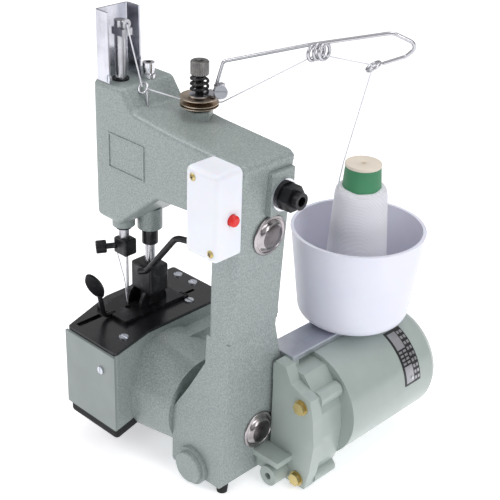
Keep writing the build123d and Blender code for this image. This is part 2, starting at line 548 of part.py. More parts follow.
shell = ring("y", (motor_x, motor_z), motor_radius, motor_radius - 2.2, motor_front_y, motor_back_y - 12)
keep("motor_shell", shell)
end_profile = [(0, motor_back_y - 12), (motor_radius, motor_back_y - 12), (motor_radius, motor_back_y - 7),
               (motor_radius - 2.2, motor_back_y - 2.5), (motor_radius - 7, motor_back_y), (0, motor_back_y)]
end_cap = lathe_y(end_profile, motor_x, motor_z)
end_cap -= round_bar("y", (motor_x, motor_z), motor_radius - 6, motor_back_y - 13, motor_back_y - 3)
end_cap += round_bar("y", (motor_x, motor_z), 9, motor_back_y - 12, motor_back_y - 2)
end_cap -= round_bar("y", (motor_x, motor_z), 6.5, motor_back_y - 13, motor_back_y - 4)
for index in range(12):
    angle = 2 * math.pi * index / 12
    end_cap -= Pos(motor_x, 0, motor_z) * Rot(0, math.degrees(angle), 0) * block(16, 32, 130, 170, -2, 2)
keep("motor_end_cap", end_cap)
stator = ring("y", (motor_x, motor_z), motor_radius - 2.2, 25.8, 78, 122)
stator += ring("y", (motor_x, motor_z), 33, 27, 70, 130)
keep("stator", stator)
rotor = round_bar("y", (motor_x, motor_z), 3.0, belt_y0 - 0.8, motor_back_y - 5)
rotor += round_bar("y", (motor_x, motor_z), 25.2, 80, 120) + round_bar("y", (motor_x, motor_z), 11, 126, 138)
rotor += round_bar("y", (motor_x, motor_z), 8, 60.5, 65)
for blade in range(9):
    rotor += Pos(motor_x, 0, motor_z) * Rot(0, 40 * blade, 0) * block(6, 36, 61, 65, -0.9, 0.9)
keep("rotor", rotor)
bearings = [ring("y", (motor_x, motor_z), 6.5, 3.0 + running, motor_back_y - 11.5, motor_back_y - 5.5),
            ring("y", (motor_x, motor_z), 8.0, 3.0 + running, motor_front_y, motor_front_y + 5)]
keep("motor_bearings", Compound(bearings))

# ---- thread stand -------------------------------------------------------------------------------
strap = block(cup_x - strap_half_width, cup_x + strap_half_width, 28, cup_y + 14, strap_top_z - strap_thickness,
              strap_top_z)
strap = soften(strap, 0.8, lambda edge: edge.center().Z > strap_top_z - 0.1)
spindle = round_bar("z", (cup_x, cup_y), 3, strap_top_z - strap_thickness, 150)
spindle += round_bar("z", (cup_x, cup_y), 9, cup_base_z + 2.5, cup_base_z + 5)


def cup_profile(inset):
    """Outline of the cup with a rounded foot: radius and height."""
    base, rim = cup_base_radius - inset, cup_rim_radius - inset
    low = cup_base_z + inset
    corner = 11.0
    points = [(0, low), (base - corner, low)]
    for angle in (-65, -40, -15):
        a = math.radians(angle)
        points.append((base - corner + corner * math.cos(a), low + corner + corner * math.sin(a)))
    return points + [(rim, cup_rim_z + (1 if inset else 0)), (0, cup_rim_z + (1 if inset else 0))]


cup = lathe_z(cup_profile(0), cup_x, cup_y) - lathe_z(cup_profile(cup_wall), cup_x, cup_y)
sleeve_low, sleeve_high = cup_base_z + 6, 227.0
cone_sleeve = lathe_z([(8, sleeve_low), (22, sleeve_low), (13.4, sleeve_high), (8, sleeve_high)], cup_x, cup_y)
cone_cap = lathe_z([(0, sleeve_high), (13.2, sleeve_high), (13.6, sleeve_high + 1), (12.8, sleeve_high + 2.6),
                    (2, sleeve_high + 2.8), (0, sleeve_high + 1.4)], cup_x, cup_y)
package = lathe_z([(5, 112), (24, 112), (25, 116), (23.5, 140), (21.3, 178), (19.6, 205), (17, 211), (5, 211.5)],
                  cup_x, cup_y) - cone_sleeve
keep("cup_bracket", strap + spindle)
keep("thread_cup", cup, spindle)
keep("cone_sleeve", cone_sleeve)
keep("cone_cap", cone_cap)
keep("thread_package", package - round_bar("z", (cup_x, cup_y), 8.2, 100, 230))

# ---- feet ------------------------------------------------------------------------------------------
foot_places = ((24, -24, base_bottom_z), (24, 32, base_bottom_z), (-15, 32, base_bottom_z),
               (56, 23, 3.0), (46, 44, 3.0), (40, 100, motor_z - motor_radius + 0.6))
feet = Compound([Pos(x, y, 0) * Pos(0, 0, top / 2) * Cone(4.0, 4.8, top) for x, y, top in foot_places])
keep("rubber_feet", feet, parts["main_casting"], parts["motor_bracket"], parts["belt_case"], parts["motor_shell"])

# ---- thread -----------------------------------------------------------------------------------------
supply_points = [(cup_x - 12.9, cup_y - 12.7, 206.5), (cup_x - 10.5, cup_y - 10.4, 229), (58.8, 72.2, 319.2),
                 (30, 49, 324.4), (tension_x + 9.5, tension_y + 12.2, 280.45),
                 (tension_x - 14.6, tension_y - 5.0, 280.45), (eye_x + 1, eye_y + 0.5, eye_z)]
supply = bent_rod(supply_points, [4, 2.5, 2.5, 6, 5], thread_radius)
keep("supply_thread", supply, parts["thread_eyelet"], parts["guide_wire"], parts["tension_discs"],
     parts["thread_package"])
takeup_start = Vector(eye_x - 1.2, eye_y - 0.2, eye_z + 0.8)
takeup_end = Vector(needle_x + 7.6, needle_y, 329)
takeup_run = takeup_end - takeup_start
takeup_thread = Solid.make_cylinder(thread_radius, takeup_run.length, Plane(origin=takeup_start, z_dir=takeup_run))
keep("takeup_thread", takeup_thread, parts["thread_eyelet"])


outer_boxes = [solid.bounding_box() for solid in parts.values()]
low_corner = [min(tuple(box.min)[axis] for box in outer_boxes) for axis in range(3)]
high_corner = [max(tuple(box.max)[axis] for box in outer_boxes) for axis in range(3)]
shift = Vector(-(low_corner[0] + high_corner[0]) / 2, -(low_corner[1] + high_corner[1]) / 2, -low_corner[2])


def export_part(name, solid):
    moved = Location(shift) * solid
    export_step(moved, f"parts/{name}.step")


if __name__ == "__main__":
    os.makedirs("parts", exist_ok=True)
    for part_name, part_solid in parts.items():
        export_part(part_name, part_solid)
    print(len(parts), "parts; frame shift", shift, "box", low_corner, high_corner)
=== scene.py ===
import bpy
import bmesh
import json
import math
from mathutils import Matrix, Vector


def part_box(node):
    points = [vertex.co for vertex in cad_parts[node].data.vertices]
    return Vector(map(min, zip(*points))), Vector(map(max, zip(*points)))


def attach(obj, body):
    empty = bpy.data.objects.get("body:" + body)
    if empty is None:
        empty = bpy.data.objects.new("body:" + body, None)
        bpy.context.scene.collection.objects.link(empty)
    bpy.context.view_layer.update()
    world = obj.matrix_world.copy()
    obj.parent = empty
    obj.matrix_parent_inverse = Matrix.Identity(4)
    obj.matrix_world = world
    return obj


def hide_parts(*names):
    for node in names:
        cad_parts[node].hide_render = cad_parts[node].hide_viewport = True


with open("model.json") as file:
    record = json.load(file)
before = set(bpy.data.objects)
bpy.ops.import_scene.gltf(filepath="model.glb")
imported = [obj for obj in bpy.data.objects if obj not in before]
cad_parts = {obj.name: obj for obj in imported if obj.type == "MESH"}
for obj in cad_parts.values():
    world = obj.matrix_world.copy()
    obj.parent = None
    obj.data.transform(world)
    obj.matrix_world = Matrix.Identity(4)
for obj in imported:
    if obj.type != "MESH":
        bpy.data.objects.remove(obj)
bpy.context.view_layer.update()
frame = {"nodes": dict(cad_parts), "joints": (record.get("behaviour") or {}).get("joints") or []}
nodes = frame["nodes"]
print("frame loaded:", len(nodes), "nodes")


def rgb(red, green, blue):
    # screen values 0 to 255 as the linear colour a shader takes
    tones = [((v / 255 + 0.055) / 1.055) ** 2.4 if v > 10 else v / 255 / 12.92 for v in (red, green, blue)]
    return (*tones, 1.0)


class Wire:
    # one shader output; Python sums on it add Math nodes
    def __init__(self, finish, socket):
        self.finish = finish
        self.socket = socket

    def sum(self, operation, *terms):
        return self.finish.node("Math", {"operation": operation}, dict(enumerate(terms)))

    def __add__(self, other):
        return self.sum("ADD", self, other)

    def __radd__(self, other):
        return self.sum("ADD", other, self)

    def __mul__(self, other):
        return self.sum("MULTIPLY", self, other)

    def between(self, low, high):
        # 0 below low, 1 above high, smooth in the middle
        return self.finish.node("MapRange", {"interpolation_type": "SMOOTHSTEP"},
                                {0: self, 1: low, 2: high})


class Finish:
    # a material in the making
    def __init__(self, name, **constants):
        self.material = bpy.data.materials.new(name)
        self.material.use_nodes = True
        self.tree = self.material.node_tree
        self.tree.nodes.clear()
        self.shader = self.tree.nodes.new("ShaderNodeBsdfPrincipled")
        end = self.tree.nodes.new("ShaderNodeOutputMaterial")
        self.tree.links.new(self.shader.outputs[0], end.inputs[0])
        self.shade(**constants)
        self.place = self.node("TexCoord", out="Object")

    def feed(self, socket, value):
        if isinstance(value, Wire):
            self.tree.links.new(value.socket, socket)
        else:
            socket.default_value = value

    def node(self, kind, settings=None, values=None, out=0):
        made = self.tree.nodes.new("ShaderNode" + kind)
        settings = dict(settings or {})
        for count, (at, colour) in enumerate(settings.pop("stops", ())):
            stop = made.color_ramp.elements[count] if count < 2 else made.color_ramp.elements.new(at)
            stop.position = at
            stop.color = colour
        for name, value in settings.items():
            setattr(made, name, value)
        for name, value in (values or {}).items():
            self.feed(made.inputs[name], value)
        return Wire(self, made.outputs[out])

    def shade(self, **sockets):
        # baseColor=... sets the shader's "Base Color", and so on
        for name, value in sockets.items():
            words = "".join(" " + c if c.isupper() else c for c in name).replace("I O R", "IOR")
            self.feed(self.shader.inputs[words[:1].upper() + words[1:]], value)

    def stretched(self, scale):
        return self.node("Mapping", {}, {"Vector": self.place, "Scale": scale})

    def noise(self, scale, detail=3.0, rough=0.5, stretch=None):
        where = self.stretched(stretch) if stretch else self.place
        return self.node("TexNoise", {},
                         {"Vector": where, "Scale": scale, "Detail": detail, "Roughness": rough})

    def cells(self, scale, smooth=0.6):
        return self.node("TexVoronoi", {"feature": "SMOOTH_F1"},
                         {"Vector": self.place, "Scale": scale, "Smoothness": smooth})

    def colours(self, mask, first, second):
        return self.node("Mix", {"data_type": "RGBA"}, {0: mask, 6: first, 7: second}, out=2)

    def bump(self, height, distance, strength=1.0):
        bumped = self.node("Bump", {}, {"Height": height, "Distance": distance, "Strength": strength})
        self.shade(normal=bumped)


paintLook = {"light": rgb(160, 169, 167), "dark": rgb(126, 136, 134), "fleck": rgb(206, 212, 210),
             "pebble": 980, "depth": 0.00024}


def hammeredPaint(name, look=paintLook):
    # cast surface under a mottled hammer finish: pebbled, with fine metal flecks
    f = Finish(name, coatWeight=0.25, coatRoughness=0.12, metallic=0.15)
    pebbles = f.cells(look["pebble"])
    mottle = f.noise(look["pebble"] * 0.9, 4.0, 0.6)
    tone = f.colours((mottle * 0.7 + pebbles * 0.45).between(0.32, 0.78), look["dark"], look["light"])
    flecks = f.noise(4200, 1.0).between(0.66, 0.74)
    cloud = f.noise(14, 2.0).between(0.3, 0.75)
    tone = f.colours(flecks * 0.45, tone, look["fleck"])
    f.shade(baseColor=f.colours(cloud * 0.16, tone, look["light"]), roughness=0.34 + mottle * 0.26)
    f.bump(pebbles * 0.75 + mottle * 0.25, look["depth"], 0.6)
    return f.material


def sheetPaint(name, light, dark, gloss=0.36):
    # smoother paint on sheet and machined castings, with a faint orange peel
    f = Finish(name, coatWeight=0.3, coatRoughness=0.15)
    cloud = f.noise(26, 3.0).between(0.25, 0.8)
    grit = f.noise(900, 3.0, 0.6)
    f.shade(baseColor=f.colours(cloud * 0.75 + grit * 0.25, dark, light),
            roughness=gloss - 0.08 + grit * 0.18)
    f.bump(grit + f.noise(220, 2.0) * 0.6, 0.00006, 0.5)
    return f.material


def plainMetal(name, colour, shade, roughness, lines=(40, 40, 2600), depth=0.00001, smear=0.35):
    # bare metal with fine machining lines and a little handling haze
    f = Finish(name, metallic=1.0)
    grain = f.noise(1.0, 2.0, 0.6, stretch=lines)
    haze = f.noise(55, 4.0, 0.6).between(0.35, 0.75)
    f.shade(baseColor=f.colours(haze * smear + grain * 0.3, colour, shade),
            roughness=roughness + haze * 0.12 + grain * 0.08)
    f.bump(grain, depth, 0.6)
    return f.material


def darkSteel(name, tone=rgb(30, 30, 33), worn=rgb(92, 92, 96), roughness=0.3, metal=0.6):
    # blackened steel that has rubbed a little greyer in places
    f = Finish(name, metallic=metal, coatWeight=0.2, coatRoughness=0.2)
    grit = f.noise(1500, 3.0, 0.6)
    wear = (f.noise(120, 4.0, 0.65) + grit * 0.25).between(0.62, 0.86)
    f.shade(baseColor=f.colours(wear * 0.5, tone, worn), roughness=roughness + grit * 0.2)
    f.bump(grit, 0.00003, 0.5)
    return f.material


def smoothPlastic(name, colour, shade, roughness=0.32, skin=0.0, radius=0.004):
    # moulded plastic with a slight waviness and fine dust
    f = Finish(name, subsurfaceWeight=skin, subsurfaceScale=radius, specularIORLevel=0.45)
    cloud = f.noise(18, 3.0).between(0.3, 0.8)
    dust = f.noise(2600, 2.0, 0.6)
    f.shade(baseColor=f.colours(cloud * 0.6 + dust * 0.2, colour, shade), roughness=roughness + dust * 0.12)
    f.bump(dust * 0.4 + f.noise(160, 2.0) * 0.6, 0.00003, 0.4)
    return f.material


def rubberSkin(name):
    f = Finish(name, specularIORLevel=0.3)
    grit = f.noise(1100, 4.0, 0.65)
    f.shade(baseColor=f.colours(grit, rgb(20, 20, 21), rgb(44, 44, 45)), roughness=0.6 + grit * 0.25)
    f.bump(grit, 0.00008, 0.6)
    return f.material


def woundThread(name):
    # crossing windings of fine thread
    f = Finish(name, sheenWeight=0.35, sheenRoughness=0.4, specularIORLevel=0.25)
    parts = []
    for lean in (0.35, -0.35):
        turned = f.node("Mapping", {}, {"Vector": f.place, "Rotation": (lean, lean * 0.6, 0.0)})
        parts.append(f.node("TexWave", {"bands_direction": "Z"},
                            {"Vector": turned, "Scale": 420, "Distortion": 1.6, "Detail": 2.0,
                             "Detail Scale": 1.5}, out="Fac"))
    strands = parts[0] * 0.5 + parts[1] * 0.5
    fuzz = f.noise(2400, 3.0, 0.6)
    f.shade(baseColor=f.colours(strands * 0.6 + fuzz * 0.4, rgb(214, 214, 224), rgb(250, 250, 253)),
            roughness=0.62 + fuzz * 0.2)
    f.bump(strands + fuzz * 0.3, 0.00012, 0.7)
    return f.material


finishes = {
    "hammerPaint": hammeredPaint("hammerPaint"),
    "frontCoverPaint": sheetPaint("frontCoverPaint", rgb(142, 151, 149), rgb(126, 135, 133), 0.4),
    "motorPaint": sheetPaint("motorPaint", rgb(176, 187, 182), rgb(160, 171, 166), 0.3),
    "plateBlack": darkSteel("plateBlack", rgb(20, 20, 23), rgb(40, 40, 44), 0.2, 0.0),
    "blackSteel": darkSteel("blackSteel"),
    "groundSteel": plainMetal("groundSteel", rgb(206, 206, 210), rgb(160, 160, 166), 0.2),
    "chrome": plainMetal("chrome", rgb(226, 226, 230), rgb(198, 198, 205), 0.06, (30, 30, 30), 0.000004, 0.2),
    "chromeDark": plainMetal("chromeDark", rgb(196, 190, 192),
                             rgb(112, 106, 108), 0.13, (900, 900, 900), 0.00003, 0.7),
    "domeDark": plainMetal("domeDark", rgb(120, 115, 117),
                           rgb(58, 54, 56), 0.22, (1500, 1500, 1500), 0.00008, 0.9),
    "guardChrome": plainMetal("guardChrome", rgb(214, 215, 222),
                              rgb(168, 168, 178), 0.14, (700, 700, 12), 0.000006, 0.5),
    "knobSteel": plainMetal("knobSteel", rgb(150, 148, 146),
                            rgb(88, 86, 86), 0.3, (700, 700, 40), 0.00002, 0.6),
    "plateGloss": darkSteel("plateGloss", rgb(22, 22, 24), rgb(58, 58, 60), 0.25, 0.0),
    "plateSilver": plainMetal("plateSilver", rgb(188, 188, 192), rgb(140, 140, 146), 0.35, (800, 30, 800)),
    "warmNickel": plainMetal("warmNickel", rgb(196, 182, 166), rgb(146, 128, 110), 0.2, (500, 500, 500)),
    "zincPlate": plainMetal("zincPlate", rgb(214, 217, 224), rgb(172, 176, 186), 0.26, (300, 20, 300)),
    "zincYellow": plainMetal("zincYellow", rgb(214, 196, 140), rgb(172, 148, 92), 0.26, (600, 600, 600)),
    "boxWhite": smoothPlastic("boxWhite", rgb(240, 241, 247), rgb(226, 228, 238), 0.3, 0.2, 0.004),
    "cupMilky": smoothPlastic("cupMilky", rgb(233, 234, 246), rgb(220, 222, 238), 0.3, 0.08, 0.004),
    "buttonRed": smoothPlastic("buttonRed", rgb(232, 42, 38), rgb(200, 24, 24), 0.22, 0.1, 0.002),
    "capCream": smoothPlastic("capCream", rgb(232, 222, 208), rgb(206, 194, 178), 0.55),
    "sleeveGreen": smoothPlastic("sleeveGreen", rgb(66, 140, 98), rgb(44, 112, 76), 0.45),
    "rubber": rubberSkin("rubber"),
    "threadWhite": woundThread("threadWhite"),
    "lamination": plainMetal("lamination", rgb(120, 120, 124),
                             rgb(80, 78, 76), 0.42, (50, 3000, 50), 0.00003),
    "rawCasting": plainMetal("rawCasting", rgb(176, 178, 180),
                             rgb(140, 142, 146), 0.4, (900, 900, 900), 0.00004),
}
nodeFinish = {
    "hammerPaint": "main_casting looper_housing base_cap pivot_pins",
    "frontCoverPaint": "looper_front_cover arm_cover",
    "motorPaint": "motor_bracket belt_case motor_shell motor_end_cap",
    "plateBlack": "needle_plate",
    "blackSteel": "handle_socket presser_sleeve needle_clamp clamp_screw presser_foot lifter_lever"
                  " tension_post bar_bushings tension_spring tension_knob",
    "groundSteel": "needle_bar needle presser_bar presser_spring connecting_rod main_shaft motor_pulley"
                   " looper feed_dog guide_wire wire_bracket thread_eyelet motor_bearings",
    "chrome": "hole_plugs handle_washer presser_adjuster bar_guard",
    "warmNickel": "tension_discs",
    "zincPlate": "cover_screws plate_screws slotted_screws cup_bracket",
    "zincYellow": "oil_box_screws case_bolts",
    "boxWhite": "oil_box",
    "cupMilky": "thread_cup",
    "buttonRed": "oil_button",
    "capCream": "cone_cap",
    "sleeveGreen": "cone_sleeve",
    "rubber": "bottom_pan rubber_feet drive_belt",
    "threadWhite": "thread_package supply_thread takeup_thread",
    "lamination": "needle_lever stator rotor",
    "rawCasting": "drive_pulley",
}
for finishName, members in nodeFinish.items():
    for member in members.split():
        nodes[member].data.materials.clear()
        nodes[member].data.materials.append(finishes[finishName])
unfinished = set(nodes) - set(" ".join(nodeFinish.values()).split())
print("finishes on", len(nodes) - len(unfinished), "nodes; left:", sorted(unfinished))


def newPiece(name, shape, finish, body, sharp=35):
    # a finished shape becomes an object at the origin that rides on its body
    bmesh.ops.remove_doubles(shape, verts=shape.verts, dist=0.000001)
    bmesh.ops.recalc_face_normals(shape, faces=shape.faces)
    mesh = bpy.data.meshes.new(name)
    shape.to_mesh(mesh)
    shape.free()
    mesh.materials.append(finishes[finish])
    for polygon in mesh.polygons:
        polygon.use_smooth = True
    mesh.set_sharp_from_angle(angle=math.radians(sharp))
    piece = bpy.data.objects.new(name, mesh)
    bpy.context.scene.collection.objects.link(piece)
    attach(piece, body)
    return piece


def turned(outline, steps=72):
    # an outline of (radius, height) in millimetres, spun about Z
    shape = bmesh.new()
    dots = [shape.verts.new((radius / 1000, 0, height / 1000)) for radius, height in outline]
    lines = [shape.edges.new(pair) for pair in zip(dots, dots[1:])]
    bmesh.ops.spin(shape, geom=dots + lines, cent=(0, 0, 0), axis=(0, 0, 1), angle=math.tau, steps=steps,
                   use_merge=True)
    bmesh.ops.remove_doubles(shape, verts=shape.verts, dist=0.000001)
    return shape


def arc(centreR, centreH, radius, start, end, count):
    # points of a rounded corner for an outline, angles in degrees
    angles = [math.radians(start + (end - start) * k / count) for k in range(count + 1)]
    return [(centreR + radius * math.cos(a), centreH + radius * math.sin(a)) for a in angles]


def putAt(shape, place, along=(0, 0, 1)):
    # move a shape made about the origin to its place, its Z turned to point along a direction
    turnTo = Vector((0, 0, 1)).rotation_difference(Vector(along)).to_matrix().to_4x4()
    bmesh.ops.transform(shape, matrix=Matrix.Translation(place) @ turnTo, verts=shape.verts)
    return shape


def joined(shapes):
    # several shapes in one mesh
    whole = bmesh.new()
    for shape in shapes:
        copy = bpy.data.meshes.new("copy")
        shape.to_mesh(copy)
        shape.free()
        whole.from_mesh(copy)
        bpy.data.meshes.remove(copy)
    return whole


def islandBoxes(node):
    # the boxes of a CAD node's separate solids
    solids = bmesh.new()
    solids.from_mesh(nodes[node].data)
    bmesh.ops.remove_doubles(solids, verts=solids.verts, dist=0.000002)
    seen, boxes = set(), []
    for vert in solids.verts:
        if vert in seen:
            continue
        island, front = [], [vert]
        seen.add(vert)
        while front:
            here = front.pop()
            island.append(here.co.copy())
            for edge in here.link_edges:
                other = edge.other_vert(here)
                if other not in seen:
                    seen.add(other)
                    front.append(other)
        low = Vector([min(co[k] for co in island) for k in range(3)])
        high = Vector([max(co[k] for co in island) for k in range(3)])
        boxes.append((low, high))
    solids.free()
    return boxes


# ---- domed chrome plugs in the column's rear face
plugLook = {"radius": 15.0, "dome": 10.9, "rise": 5.8, "tilt": 3.9}
plugShapes = []
for low, high in islandBoxes("hole_plugs"):
    middle = (low + high) / 2
    lean = math.radians(plugLook["tilt"]) if middle.z > 0.1 else 0.0
    out = Vector((math.cos(lean), 0, -math.sin(lean)))
    r, d = plugLook["radius"], plugLook["dome"]
    outline = [(0, -4.4), (12.2, -4.4), (12.2, 0)] + arc(r - 0.8, 0.8, 0.8, -90, 90, 6)
    outline += arc(13.3, 1.5, 0.45, 60, 120, 2) + arc(12.1, 1.4, 0.6, 250, 290, 2)[::-1]
    outline += [(d * math.cos(a), 1.5 + (plugLook["rise"] - 1.5) * math.sin(a)) for a in
                [math.radians(9 * k) for k in range(1, 11)]]
    outline[-1] = (0, plugLook["rise"])
    face = Vector((high.x, middle.y, middle.z)) - out * (plugLook["rise"] / 1000)
    plugShapes.append(putAt(turned(outline, 96), face, out))
holePlugs = newPiece("holePlugs", joined(plugShapes), "chromeDark", "frame", 50)
# painted reflection: a darker chrome for the middle of each dome
holePlugs.data.materials.append(finishes["domeDark"])
centres = [(low + high) / 2 for low, high in islandBoxes("hole_plugs")]
for polygon in holePlugs.data.polygons:   # painted reflection: the dome's middle, inside the bright ring, takes a darker copy of the chrome
    off = min((Vector(polygon.center) - centre).yz.length for centre in centres)
    if off < plugLook["dome"] * 0.00078 and polygon.center.x > min(centre.x for centre in centres):
        polygon.material_index = 1
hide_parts("hole_plugs")

# ---- knurled knobs: the tension screw's head and the needle clamp's screw
knobLook = {"ridges": 30, "depth": 0.045, "socket": 0.52}


def knurledHead(radius, low, high):
    # a socket head with straight knurling, about Z
    w = min(0.7, radius * 0.12)
    outline = [(0, low), (radius - w, low), (radius, low + w), (radius, high - w), (radius - w, high)]
    outline += [(radius * knobLook["socket"], high), (radius * knobLook["socket"] * 0.94, high - 0.4),
                (radius * knobLook["socket"] * 0.94, high - (high - low) * 0.55),
                (0, high - (high - low) * 0.55)]
    steps = knobLook["ridges"] * 4
    shape = turned(outline, steps)
    for vert in shape.verts:
        size = math.hypot(vert.co.x, vert.co.y) * 1000
        if size > radius - w * 0.5:
            part = round(math.atan2(vert.co.y, vert.co.x) / math.tau * steps) % 4
            if part < 2:
                vert.co.xy *= 1 - knobLook["depth"]
        elif abs(size - radius * knobLook["socket"] * 0.94) < radius * 0.04:
            turnPart = math.atan2(vert.co.y, vert.co.x) % (math.pi / 3) - math.pi / 6
            vert.co.xy *= math.cos(math.pi / 6) / math.cos(turnPart)
    return shape


low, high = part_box("tension_knob")
centre = (low + high) / 2
tensionHead = newPiece("tensionHead", putAt(knurledHead((high.x - low.x) * 500, -5.0, 5.0), centre),
                       "knobSteel", "tension_adjuster")
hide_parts("tension_knob")

screwJoint = next(j for j in frame["joints"] if j["name"] == "clamp_screw_turn")
screwAxis = Vector(screwJoint["axis"]).normalized()
screwStart = Vector(screwJoint["pos_m"])
shank = turned([(0, 2.6), (2.2, 2.6), (2.2, 8.8), (2.9, 9.0), (0, 9.0)], 32)
clampKnob = newPiece("clampKnob", putAt(joined([knurledHead(5.0, 9.0, 17.0), shank]), screwStart, screwAxis),
                     "blackSteel", "clamp_screw_body")
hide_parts("clamp_screw")
print("knobs and plugs done")

# ---- yellow zinc cross-recess heads on the oil box, the shade inside each cross painted as dark bars
headLook = {"radius": 2.7, "rise": 1.3, "arm": 1.5, "width": 0.55}
heads, recessShades = [], []
for low, high in islandBoxes("oil_box_screws"):
    middle = (low + high) / 2
    face = Vector((middle.x, low.y, middle.z))
    a, h = headLook["radius"], headLook["rise"]
    dome = [(0, -h - 2.2), (1.3, -h - 2.2), (1.3, -h), (a, -h), (a, -h + 0.3)]
    dome += [(a * math.cos(t), -h + 0.3 + (h - 0.3) * math.sin(t)) for t in
             [math.radians(10 * k) for k in range(1, 9)]]
    heads.append(putAt(turned(dome + [(0, 0)], 32), face, (0, -1, 0)))
    # painted shade: the cross recess is not cut, flat dark bars set into the head stand for the shade inside
    # it
    for across in ((headLook["arm"], headLook["width"]), (headLook["width"], headLook["arm"])):
        bar = bmesh.new()
        bmesh.ops.create_cube(bar, size=1.0)
        deep = across[1] * (0.001 if across[0] > across[1] else 0.002)
        bmesh.ops.scale(bar, vec=(across[0] * 0.002, deep, 0.0006), verts=bar.verts)
        bmesh.ops.rotate(bar, cent=(0, 0, 0), matrix=Matrix.Rotation(0.5, 3, "Z"), verts=bar.verts)
        recessShades.append(putAt(bar, face + Vector((0, 0.00029, 0)), (0, -1, 0)))
oilHeads = newPiece("oilHeads", joined(heads), "zincYellow", "frame")
oilRecessShade = newPiece("oilRecessShade", joined(recessShades), "plateGloss", "frame")
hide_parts("oil_box_screws")

# ---- thread stand: cup, cone cap and wound thread
cupLook = {"base": 43.0, "rim": 50.5, "wall": 2.2, "corner": 11.0, "lip": 0.5}
low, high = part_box("thread_cup")
cupFoot = Vector(((low.x + high.x) / 2, (low.y + high.y) / 2, low.z))
tall = (high.z - low.z) * 1000
c, b = cupLook["corner"], cupLook["base"]
outside = [(0, 0), (b * 0.5, 0)] + arc(b - c, c, c, -90, -6, 12) + [(cupLook["rim"], tall - 0.6)]
outside += [(cupLook["rim"] + cupLook["lip"], tall - 0.5), (cupLook["rim"] + cupLook["lip"], tall)]
w = cupLook["wall"]
inside = [(cupLook["rim"] - w, tall), (cupLook["rim"] - w - 0.1, tall - 1)]
inside += arc(b - c, c, c - w, -6, -90, 10) + [(b * 0.5, w), (0, w)]
cup = newPiece("cup", putAt(turned(outside + inside, 128), cupFoot), "cupMilky", "frame")
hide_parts("thread_cup")

low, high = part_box("cone_cap")
capFoot = Vector(((low.x + high.x) / 2, (low.y + high.y) / 2, low.z))
capOutline = [(0, 0), (13.2, 0), (13.5, 0.3)] + arc(12.9, 1.9, 0.7, 0, 90, 5)
capOutline += [(9, 2.7), (2.4, 2.6), (1.8, 2.2), (1.6, 0.9), (0, 0.8)]
coneCap = newPiece("coneCap", putAt(turned(capOutline, 96), capFoot), "capCream", "frame")
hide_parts("cone_cap")

windLook = {"strands": 150, "proud": 0.16,
            "profile": [(24.0, 112.0), (24.9, 116.0), (23.4, 140.0), (21.2, 178.0), (19.5, 204.8),
                        (18.7, 208.0), (17.2, 210.6)]}
low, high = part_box("thread_package")
packAxis = Vector(((low.x + high.x) / 2, (low.y + high.y) / 2, 0))
path = windLook["profile"]
outline = [(15.0, 112.0)]
for k in range(windLook["strands"] * 2 + 1):
    level = path[0][1] + (path[-1][1] - path[0][1]) * k / (windLook["strands"] * 2)
    seg = next(i for i in range(len(path) - 1) if level <= path[i + 1][1] + 1e-6)
    (r0, h0), (r1, h1) = path[seg], path[seg + 1]
    radius = r0 + (r1 - r0) * (level - h0) / (h1 - h0)
    outline.append((radius + (windLook["proud"] if k % 2 else -windLook["proud"]), level))
outline += [(15.5, 211.0), (13.0, 211.0)]
windings = turned(outline, 96)
for vert in windings.verts:   # the strands cross at a slant, so each ring waves a little
    around = math.atan2(vert.co.y, vert.co.x)
    vert.co.z += 0.0006 * math.sin(around * 2 + vert.co.z * 90) + 0.0002 * math.sin(around * 7)
package = newPiece("package", putAt(windings, packAxis), "threadWhite", "frame", 80)
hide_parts("thread_package")
print("thread stand done")

# ---- rating plate on the motor's shell, left blank
plateLook = {"from": 0.066, "to": 0.0845, "low": 6.0, "high": 66.0, "lift": 0.00045, "thick": 0.0006,
             "fieldLift": 0.0006, "fieldThick": 0.0003}
low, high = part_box("motor_shell")
motorAxis = Vector(((low.x + high.x) / 2, 0, (low.z + high.z) / 2))
motorRadius = (high.z - low.z) / 2


def curvedPatch(y0, y1, a0, a1, lift, thick):
    # a sheet that follows the shell: along Y and round from angle a0 to a1
    shape = bmesh.new()
    bmesh.ops.create_grid(shape, x_segments=4, y_segments=24, size=0.5)
    for vert in shape.verts:
        angle = math.radians(a0 + (a1 - a0) * (vert.co.y + 0.5))
        along = y0 + (y1 - y0) * (vert.co.x + 0.5)
        reach = motorRadius + lift
        vert.co = (motorAxis.x + reach * math.cos(angle), along, motorAxis.z + reach * math.sin(angle))
    bmesh.ops.recalc_face_normals(shape, faces=shape.faces)
    first = shape.faces[:][0]
    if first.normal.dot(first.calc_center_median() - Vector((motorAxis.x, y0, motorAxis.z))) < 0:
        bmesh.ops.reverse_faces(shape, faces=shape.faces)
    bmesh.ops.solidify(shape, geom=shape.faces[:], thickness=thick)
    return shape


y0, y1 = plateLook["from"], plateLook["to"]
blackSheet = curvedPatch(y0, y1, plateLook["low"], plateLook["high"], plateLook["lift"], plateLook["thick"])
ratingPlate = newPiece("ratingPlate", blackSheet, "plateGloss", "frame")
panels = []


def addField(near, far, start, end, inset=0.0):
    # one silver field, between two shares of the plate's width and two angles
    panels.append(curvedPatch(y0 + (y1 - y0) * near + inset, y0 + (y1 - y0) * far, start, end,
                              plateLook["fieldLift"], plateLook["fieldThick"]))


